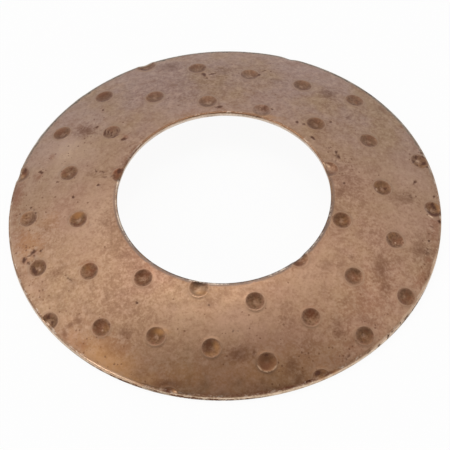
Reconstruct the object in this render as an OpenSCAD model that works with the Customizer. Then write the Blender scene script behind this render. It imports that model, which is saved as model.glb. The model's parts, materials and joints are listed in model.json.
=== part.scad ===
// Spherical thrust washer for a differential pinion.
// A ring blanked from bronze sheet that carries a slanted grid of pressed grease pockets on both
// faces, formed to a sphere. It stands on its rim with the convex face up, centred on the axis.

/* [Ring] */
// Outside diameter
outer_d = 72; // [66:0.5:84]
// Bore, a loose fit over the journal of the pinion's cross shaft
bore_d = 35.3; // [28:0.1:42]
// Thickness of the sheet, square to its faces
sheet_t = 1; // [0.9:0.05:1.6]
// Radius of the convex face, which seats in the differential case
seat_r = 88; // [64:1:140]

/* [Blanked edges] */
// Depth of the die roll, where the convex face is drawn down into the cut
roll_h = 0.2; // [0.1:0.05:0.3]
// Width of the die roll across the convex face
roll_w = 0.35; // [0.2:0.05:0.5]
// Height of the torn band at the foot of the cut
tear_h = 0.25; // [0.1:0.05:0.35]
// How far the torn band falls back from the cut
tear_in = 0.06; // [0.03:0.01:0.12]

/* [Grease pockets] */
// Diameter of a pocket's mouth
pocket_d = 2.8; // [2:0.1:3.6]
// Depth of a pocket below the face
pocket_h = 0.35; // [0.2:0.05:0.4]
// Spacing of the pockets along a row
pocket_pitch = 9.54; // [8.5:0.02:13]
// Spacing from one row to the next
row_pitch = 9.65; // [6:0.05:13]
// Slip of each row along the row before it
row_slip = -4.6; // [-7:0.1:7]
// Slant of the rows across the ring
grid_turn = -16.55; // [-45:0.05:45]
// How far the pocket nearest the axis lies off it, along X
grid_x = 1.15; // [-3:0.05:3]
// How far the pocket nearest the axis lies off it, along Y
grid_y = -0.15; // [-3:0.05:3]

/* [Hidden] */

outer_r = outer_d / 2;
bore_r = bore_d / 2;
pocket_r = pocket_d / 2;

// Radius of the concave face, which bears on the back of the pinion
hollow_r = seat_r - sheet_t;
// Radius of the ball that leaves a pocket of this mouth and depth
ball_r = (pocket_r * pocket_r + pocket_h * pocket_h) / (2 * pocket_h);
// Rows on each side of the axis that are enough to cross the ring
row_count = ceil(outer_r / row_pitch) + 1;
// Places on each side of the axis that are enough to cross it along a slipped row
place_count = ceil((outer_r + row_count * abs(row_slip)) / pocket_pitch) + 1;

// Facets of the two faces in section, of the ring's round and of a pocket
face_fn = 720;
round_fn = 180;
pocket_fn = 40;

// Height of the convex face over the sphere's centre, at a distance x from the axis
function crown(x) = sqrt(seat_r * seat_r - x * x);

// Height of the concave face over the sphere's centre, at a distance x from the axis
function hollow(x) = sqrt(hollow_r * hollow_r - x * x);

// Outline of a cut wall at a distance x from the axis, downwards, with inward 1 at the bore and -1 at the
// rim: above the convex face, down the die roll, the straight land and the torn band, below the concave face
function cut_wall(x, inward) =
    let (
        roll_x = x + inward * roll_w,
        tear_x = x + inward * tear_in,
        land_top = crown(x) - roll_h,
        land_foot = hollow(tear_x) + tear_h
    )
    [
        [roll_x + inward * roll_w, seat_r],
        [roll_x + inward * roll_w, 2 * crown(roll_x) - land_top],
        [x, land_top],
        [x, land_foot],
        [tear_x + inward * tear_in, hollow(tear_x) - tear_h]
    ];

// Place of a pocket in the flat sheet, counted in places and rows from the one nearest the axis
function flat_place(along, row) =
    let (
        x = along * pocket_pitch + row * row_slip,
        y = row * row_pitch
    )
    [
        grid_x + x * cos(grid_turn) - y * sin(grid_turn),
        grid_y + x * sin(grid_turn) + y * cos(grid_turn)
    ];

// Angle from the axis at which a place of the flat sheet lies once the ring is formed
function lean(place) = 2 * atan(norm(place) / (2 * seat_r));

// Whether a pocket bites into the ring by more than half its own radius
function on_ring(place) =
    let (from_axis = seat_r * sin(lean(place)))
    from_axis < outer_r + pocket_r / 2 && from_axis > bore_r - pocket_r / 2;

// Section of the sheet between its two faces, trimmed to the cut walls of bore and rim
module section() {
    bore_wall = cut_wall(bore_r, 1);
    rim_wall = cut_wall(outer_r, -1);
    intersection() {
        difference() {
            circle(r = seat_r, $fn = face_fn);
            circle(r = hollow_r, $fn = face_fn);
        }
        polygon(concat(bore_wall, [for (k = [len(rim_wall) - 1:-1:0]) rim_wall[k]]));
    }
}

// Balls that press one face's grid, moved along the rows by slip places, with their centres
// at a distance ball_at from the sphere's centre
module pocket_balls(slip, ball_at) {
    for (row = [-row_count:row_count], along = [-place_count:place_count]) {
        place = flat_place(along + slip, row);
        if (on_ring(place))
            rotate([0, lean(place), atan2(place.y, place.x)])
                translate([0, 0, ball_at])
                    sphere(r = ball_r, $fn = pocket_fn);
    }
}

// The washer: the formed ring less its pockets. The pockets of one face lie half a pitch
// along the rows from those of the other.
module washer() {
    color("#A37F69")
        translate([0, 0, -hollow(outer_r - tear_in)])
            difference() {
                rotate_extrude($fn = round_fn) section();
                pocket_balls(0, seat_r + ball_r - pocket_h);
                pocket_balls(0.5, hollow_r - ball_r + pocket_h);
            }
}

washer();
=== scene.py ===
"""Looks of the spherical differential washer.

The washer is made as the press shop makes it. A flat blank of bronze sheet is laid out, with a finer mesh
where something will mark it. A Geometry Nodes tree then presses the grease pockets into both faces and
forms the blank to a sphere, and two kinds of finish dress it: the worn faces and the cut walls. Lengths
are in millimetres until a point reaches the finished mesh. Marks of wear, and marks that paint highlights
and shade, are placed by the pixel of the photograph that shows them. The finishes also paint grey
reflections of the die rolls along the brows of the cuts, and a grey sheen on the far side.
"""

import json
import logging
import math
from dataclasses import dataclass, field
from enum import Enum
from functools import partial

import bpy
import numpy as np
from mathutils import Matrix, Vector
from mathutils.geometry import delaunay_2d_cdt


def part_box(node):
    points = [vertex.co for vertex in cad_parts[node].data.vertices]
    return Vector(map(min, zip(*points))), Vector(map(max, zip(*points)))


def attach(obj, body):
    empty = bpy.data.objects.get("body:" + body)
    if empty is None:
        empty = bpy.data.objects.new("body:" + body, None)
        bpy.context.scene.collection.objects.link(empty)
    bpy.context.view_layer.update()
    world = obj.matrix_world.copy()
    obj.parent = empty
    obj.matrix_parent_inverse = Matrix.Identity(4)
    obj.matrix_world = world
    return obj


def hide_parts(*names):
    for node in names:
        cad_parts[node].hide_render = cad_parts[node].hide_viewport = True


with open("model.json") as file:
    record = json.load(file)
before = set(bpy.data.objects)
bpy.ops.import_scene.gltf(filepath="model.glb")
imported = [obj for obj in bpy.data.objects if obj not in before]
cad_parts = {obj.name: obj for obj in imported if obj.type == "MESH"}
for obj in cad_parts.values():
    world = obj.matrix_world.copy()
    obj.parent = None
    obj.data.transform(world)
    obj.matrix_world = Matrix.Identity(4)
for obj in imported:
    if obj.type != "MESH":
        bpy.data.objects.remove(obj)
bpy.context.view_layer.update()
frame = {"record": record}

LOG = logging.getLogger("washer")
# A millimetre in metres, and the side of the photograph in pixels
MM = 0.001
PHOTO_PX = 450
# How far inside the solid's own size the piece stays, in mm
INSET = 0.005
# Where each side of the washer starts and is full, in mm from its axis towards the far side; the sides
# bound the painted reflections and the painted sheen
SIDES = {"near_side": (12.0, -6.0), "far_side": (2.0, 20.0)}

# Blender's names for the kinds of node that are used most
MATH = "ShaderNodeMath"
VECTOR = "ShaderNodeVectorMath"
RANGE = "ShaderNodeMapRange"
MIX = "ShaderNodeMix"
NOISE = "ShaderNodeTexNoise"
ATTRIBUTE = "ShaderNodeAttribute"

NodeInputs = dict[str, object] | tuple[object, ...]
Masks = dict[str, object]


def linear(hex_colour: str) -> tuple[float, float, float, float]:
    """Turn an sRGB hex colour into linear RGBA, by the curve of the sRGB standard.

    Args:
        hex_colour: colour such as "A37F69".

    Returns:
        Linear red, green and blue, and an alpha of one.
    """
    channels = [int(hex_colour[k : k + 2], 16) / 255 for k in (0, 2, 4)]
    red, green, blue = (c / 12.92 if c <= 0.04045 else ((c + 0.055) / 1.055) ** 2.4 for c in channels)
    return red, green, blue, 1.0


def add_node(
    tree: bpy.types.NodeTree, kind: str, inputs: NodeInputs = (), **settings: object
) -> bpy.types.Node:
    """Add a node to a tree with its settings, values and links.

    Args:
        tree: node tree of a material, a world or a modifier.
        kind: Blender's name for the type of node.
        inputs: by name, or in order, for the inputs in use: a value, a socket, or a node whose first output
            in use is linked.
        settings: the node's own properties.

    Returns:
        The new node.
    """
    node = tree.nodes.new(kind)
    for name, value in settings.items():
        setattr(node, name, value)
    targets = [socket for socket in node.inputs if socket.enabled]
    if isinstance(inputs, dict):
        by_name = {socket.name: socket for socket in reversed(targets)}
        targets, inputs = [by_name[name] for name in inputs], inputs.values()
    for target, value in zip(targets, inputs):
        if isinstance(value, bpy.types.Node):
            value = next(socket for socket in value.outputs if socket.enabled)
        if isinstance(value, bpy.types.NodeSocket):
            tree.links.new(value, target)
        else:
            target.default_value = value
    return node


class Wear(Enum):
    """What a mark does to the bronze, valued by the mesh attribute that carries it to the finish."""

    # Dark grit and tar
    GRIME = "grime"
    # Reddish oxide, and along the brow of the near rim a painted dark reflection of the die roll
    RUST = "rust"
    # Dark brown haze, and in places painted shade
    HAZE = "haze"
    # Golden varnish of burnt oil, and in places painted golden highlights
    VARNISH = "varnish"
    # Bare metal, rubbed pale, and in places painted highlights and paler zones of light
    BARE = "bare"
    # Where small brown specks crowd together
    SPECKS = "specks"
    # Where the film dried in a pocket is thin
    THIN = "thin"


@dataclass(frozen=True)
class Mark:
    """One mark of wear, of painted highlight or of painted shade on the convex face.

    Args:
        wear: what the mark does to the bronze.
        at: pixel of the photograph where it shows.
        size: half its width, in mm.
        strength: how much of the wear its middle shows, where one is full and more spreads the full part.
        dent: how deep it goes, in mm.
        length: how many times longer it is than wide.
        slant: direction of its length across the picture, in degrees, up from the right.
    """

    wear: Wear
    at: tuple[float, float]
    size: float
    strength: float = 1.0
    dent: float = 0.0
    length: float = 1.0
    slant: float = 0.0


@dataclass(frozen=True)
class View:
    """The photograph's camera, placed in the washer's own frame."""

    # Height of the camera's line of sight over the floor
    elevation: float = math.radians(53.18)
    # How far the picture leans
    roll: float = math.radians(-2.14)
    # Distance from the point it looks at
    distance: float = 551.0
    # Focal length for a sensor 36 mm wide
    focal: float = 270.0
    sensor: float = 36.0
    # Point that it looks at
    target: tuple[float, float, float] = (0.0, -7.35, 8.77)

    def axes(self) -> tuple[Vector, Vector, Vector]:
        """Work out which way the camera faces.

        Returns:
            Its own right, up and backward directions.
        """
        back = Vector((0.0, -math.cos(self.elevation), math.sin(self.elevation)))
        level = Vector((1.0, 0.0, 0.0))
        upright = back.cross(level)
        right = level * math.cos(self.roll) + upright * math.sin(self.roll)
        return right, back.cross(right), back

    def eye(self) -> Vector:
        """Return the camera's place, in mm."""
        return Vector(self.target) + self.axes()[2] * self.distance

    def ray(self, pixel: tuple[float, float]) -> Vector:
        """Look through a pixel of the photograph.

        Args:
            pixel: how far it lies from the picture's left side and from its top.

        Returns:
            The direction from the camera through it.
        """
        right, up, back = self.axes()
        step = self.sensor / (PHOTO_PX * self.focal)
        across, down = (value - PHOTO_PX / 2 for value in pixel)
        return (right * across * step - up * down * step - back).normalized()


@dataclass(frozen=True)
class PocketGrid:
    """Slanted grid of pressed grease pockets, counted from the one nearest the axis."""

    pitch: float = 9.54
    row_pitch: float = 9.65
    row_slip: float = -4.6
    turn: float = math.radians(-16.55)
    offset: tuple[float, float] = (1.15, -0.15)
    mouth_r: float = 1.4
    depth: float = 0.35
    # Pockets each way that are enough to cross the ring
    reach: int = 9
    # How far the grid of the concave face lies along the rows, in pitches
    under_slip: float = 0.5

    @property
    def ball_r(self) -> float:
        """Radius of the ball that leaves a pocket of this mouth and depth."""
        return (self.mouth_r**2 + self.depth**2) / (2 * self.depth)

    def places(self, slip: float) -> np.ndarray:
        """Lay out the pockets of one face on the flat sheet.

        Args:
            slip: how far the grid is moved along its rows, in pitches.

        Returns:
            One row of x and y for each pocket.
        """
        count = np.arange(-self.reach, self.reach + 1)
        row, along = (part.ravel() for part in np.meshgrid(count, count, indexing="ij"))
        x = (along + slip) * self.pitch + row * self.row_slip
        y = row * self.row_pitch
        c, s = math.cos(self.turn), math.sin(self.turn)
        return np.column_stack([self.offset[0] + x * c - y * s, self.offset[1] + x * s + y * c])


@dataclass(frozen=True)
class WallRow:
    """One ring of points round a cut wall.

    Args:
        section: distance from the axis and height over the sphere's centre, one row a point.
        down: how far down the wall it lies, from nought to one.
        torn: how torn the metal is at each point, from nought to one.
    """

    section: np.ndarray
    down: float
    torn: np.ndarray


@dataclass
class CutWall:
    """Section of a blanked wall: a die roll at its brow, a straight land and a torn band at its foot.

    Args:
        radius: distance of the straight land from the axis, in mm.
        inward: 1 where the metal lies outside the cut, as at the bore, and -1 at the rim.
        steps: points round the wall.
        seed: seed of the torn band's wandering edge.
    """

    radius: float
    inward: int
    steps: int
    seed: int
    # Height of the die roll and of the torn band, and how far each falls back from the land, in mm
    roll_h: float = 0.2
    roll_w: float = 0.35
    tear_h: float = 0.85
    tear_in: float = 0.06
    # How far the torn band's upper edge wanders, as a share of its height, and how rough the torn metal is
    wander: float = 0.4
    rough: float = 0.03
    # Waves round the ring that move the edge, and the height of their sum where it has wandered furthest
    waves: tuple[int, ...] = (5, 8, 13, 21, 34, 55, 89)
    wave_top: float = 2.0
    # Power that crowds the torn band's rows towards its upper edge
    crowding: float = 1.5
    # Sides where the punch broke through first and how far round each reaches, in degrees
    breaks: tuple[tuple[float, float], ...] = ((-107, 18), (-33, 7))
    # Height of the torn band away from them, as a share of its height there
    least: float = 0.29
    # Least height of the land, in mm
    least_land: float = 0.12
    roll_rows: int = 5
    land_rows: int = 3
    tear_rows: int = 3
    # Shares of the way down the wall where the land and the torn band start
    land_start: float = 0.3
    tear_start: float = 0.7

    def angles(self) -> np.ndarray:
        """Return the angle of each point round the wall."""
        return np.arange(self.steps) * (2 * math.pi / self.steps)

    def rows(self, seat_r: float, hollow_r: float) -> list[WallRow]:
        """Work out the wall's rows, downwards, in section.

        Args:
            seat_r: radius of the convex face.
            hollow_r: radius of the concave face.

        Returns:
            The rows from the convex face to the concave one.
        """
        draw = np.random.default_rng(self.seed)
        phi = self.angles()
        whole = np.ones(self.steps)
        swell = sum(
            draw.normal() / n**0.5 * np.cos(n * phi + draw.uniform(0, 2 * math.pi)) for n in self.waves
        )
        swell = np.clip(swell / self.wave_top, -1, 1)
        torn = 0 * whole
        for side, reach in self.breaks:
            off_side = np.angle(np.exp(1j * (phi - math.radians(side))), deg=True)
            torn = np.maximum(torn, np.exp(-((off_side / reach) ** 2)))
        torn = self.least + (1 - self.least) * torn
        edge_x = self.radius + self.inward * self.tear_in
        foot = math.sqrt(hollow_r**2 - edge_x**2)
        land_top = math.sqrt(seat_r**2 - self.radius**2) - self.roll_h
        land_foot = foot + self.tear_h * torn * (1 + self.wander * swell)
        land_foot = np.minimum(land_foot, land_top - self.least_land)
        rows = []
        for k in range(self.roll_rows + 1):
            share = k / self.roll_rows
            swing = math.pi / 2 * share
            x = self.radius + self.inward * self.roll_w * (1 - math.sin(swing))
            height = math.sqrt(seat_r**2 - x**2) - self.roll_h * (1 - math.cos(swing))
            section = np.column_stack([x * whole, height * whole])
            rows.append(WallRow(section, self.land_start * share, 0 * whole))
        for k in range(1, self.land_rows + 1):
            share = k / self.land_rows
            section = np.column_stack([self.radius * whole, land_top + (land_foot - land_top) * share])
            down = self.land_start + (self.tear_start - self.land_start) * share
            rows.append(WallRow(section, down, 0 * whole))
        for k in range(1, self.tear_rows + 1):
            share = (k / self.tear_rows) ** self.crowding
            jag = np.abs(draw.normal(size=self.steps)) * self.rough * (share < 1)
            x = self.radius + self.inward * (self.tear_in * share**self.crowding + jag)
            section = np.column_stack([x, land_foot + (foot - land_foot) * share])
            rows.append(WallRow(section, self.tear_start + (1 - self.tear_start) * share, torn))
        return rows


@dataclass
class Sheet:
    """Flat triangulated face of the blank, finer where pockets and marks will be.

    Args:
        bore: flat points of its inner edge.
        rim: flat points of its outer edge.
        spacing: distance between its open points, in mm.
    """

    bore: np.ndarray
    rim: np.ndarray
    spacing: float
    # Rings of points round a pocket, as shares of its mouth, and points round the mouth
    pocket_rings: tuple[float, ...] = (
        0, 0.13, 0.27, 0.41, 0.55, 0.68, 0.79, 0.88, 0.94, 0.98, 1.02, 1.07, 1.14, 1.24, 1.38, 1.56
    )
    pocket_steps: int = 44
    # Rings of points round a mark, as shares of its size, and points round a ring of that size
    mark_rings: tuple[float, ...] = (0, 0.5, 1.0, 1.6)
    mark_steps: int = 12
    # How much fuller than its share a ring is
    ring_fill: float = 0.08
    # Room left round a patch of rings, as a share of the spacing, and along both edges, in mm
    patch_gap: float = 0.45
    edge_gap: float = 0.12
    # Kind of triangulation, which is the whole hull, and how close two points lie that count as one
    whole_hull: int = 0
    merge_gap: float = 1e-6

    def points(
        self, pockets: np.ndarray, mouths: np.ndarray, marks: np.ndarray, sizes: np.ndarray
    ) -> np.ndarray:
        """Scatter the sheet's inner points.

        Args:
            pockets: centres of the pockets.
            mouths: radius of each pocket's mouth on the flat sheet.
            marks: centres of the marks.
            sizes: radius of each mark.

        Returns:
            One row of x and y for each point.
        """
        low, high = np.hypot(*self.bore.T).max(), np.hypot(*self.rim.T).min()
        taken: list[tuple[np.ndarray, float]] = []
        found: list[np.ndarray] = []
        for centres, radii, rings, steps in (
            (pockets, mouths, self.pocket_rings, self.pocket_steps),
            (marks, sizes, self.mark_rings, self.mark_steps),
        ):
            for centre, radius in zip(centres, radii):
                if not low - 2 * radius < np.hypot(*centre) < high + 2 * radius:
                    continue
                patch = self.ring_points(centre, radius, rings, steps)
                found.append(patch[self.clear_of(patch, taken)])
                taken.append((centre, radius * rings[-1] + self.spacing * self.patch_gap))
        row = self.spacing * math.sqrt(3) / 2
        rows = np.arange(-math.ceil(high / row), math.ceil(high / row) + 1)
        columns = np.arange(-math.ceil(high / self.spacing), math.ceil(high / self.spacing) + 1)
        grid_row, grid_column = (part.ravel() for part in np.meshgrid(rows, columns, indexing="ij"))
        open_points = np.column_stack([(grid_column + 0.5 * (grid_row % 2)) * self.spacing, grid_row * row])
        found.append(open_points[self.clear_of(open_points, taken)])
        every = np.vstack(found)
        radius = np.hypot(*every.T)
        return every[(radius > low + self.edge_gap) & (radius < high - self.edge_gap)]

    def ring_points(
        self, centre: np.ndarray, radius: float, rings: tuple[float, ...], steps: int
    ) -> np.ndarray:
        """Lay staggered rings of points round a centre.

        Args:
            centre: their centre.
            radius: radius that the rings are shares of.
            rings: the rings' shares.
            steps: points on a ring of the whole radius.

        Returns:
            One row of x and y for each point.
        """
        patch = []
        for k, share in enumerate(rings):
            count = max(1, round(steps * min(1.0, share + self.ring_fill))) if share else 1
            swing = (np.arange(count) + 0.5 * (k % 2)) * (2 * math.pi / count)
            patch.append(centre + radius * share * np.column_stack([np.cos(swing), np.sin(swing)]))
        return np.vstack(patch)

    @staticmethod
    def clear_of(points: np.ndarray, taken: list[tuple[np.ndarray, float]]) -> np.ndarray:
        """Find the points outside the discs that are taken already.

        Args:
            points: rows of x and y.
            taken: centre and radius of each disc.

        Returns:
            For each point, whether it is clear.
        """
        clear = np.ones(len(points), bool)
        for centre, radius in taken:
            clear &= np.hypot(*(points - centre).T) > radius
        return clear

    def triangles(self, inner: np.ndarray) -> tuple[np.ndarray, np.ndarray]:
        """Join the edges and the inner points into triangles.

        Args:
            inner: the sheet's inner points.

        Returns:
            All points, the bore's first and the rim's next, and the triangles, anticlockwise.
        """
        points = np.vstack([self.bore, self.rim, inner])
        flat = [Vector(point) for point in points.tolist()]
        _, _, found, origins, *_ = delaunay_2d_cdt(flat, [], [], self.whole_hull, self.merge_gap)
        faces = np.array([origin[0] for origin in origins])[np.array(found)]
        corners = points[faces]
        centre = np.hypot(*corners.mean(axis=1).T)
        in_bore = (faces < len(self.bore)).all(axis=1) & (centre < np.hypot(*self.bore.T).max())
        faces = faces[~in_bore]
        first, second = (points[faces[:, k]] - points[faces[:, 0]] for k in (1, 2))
        wrong = first[:, 0] * second[:, 1] - first[:, 1] * second[:, 0] < 0
        faces[wrong] = faces[wrong][:, ::-1]
        return points, faces


# A maker of marks for each kind of wear
grime, rust, haze, varnish, bare, specks, thin = (partial(Mark, wear) for wear in Wear)

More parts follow.
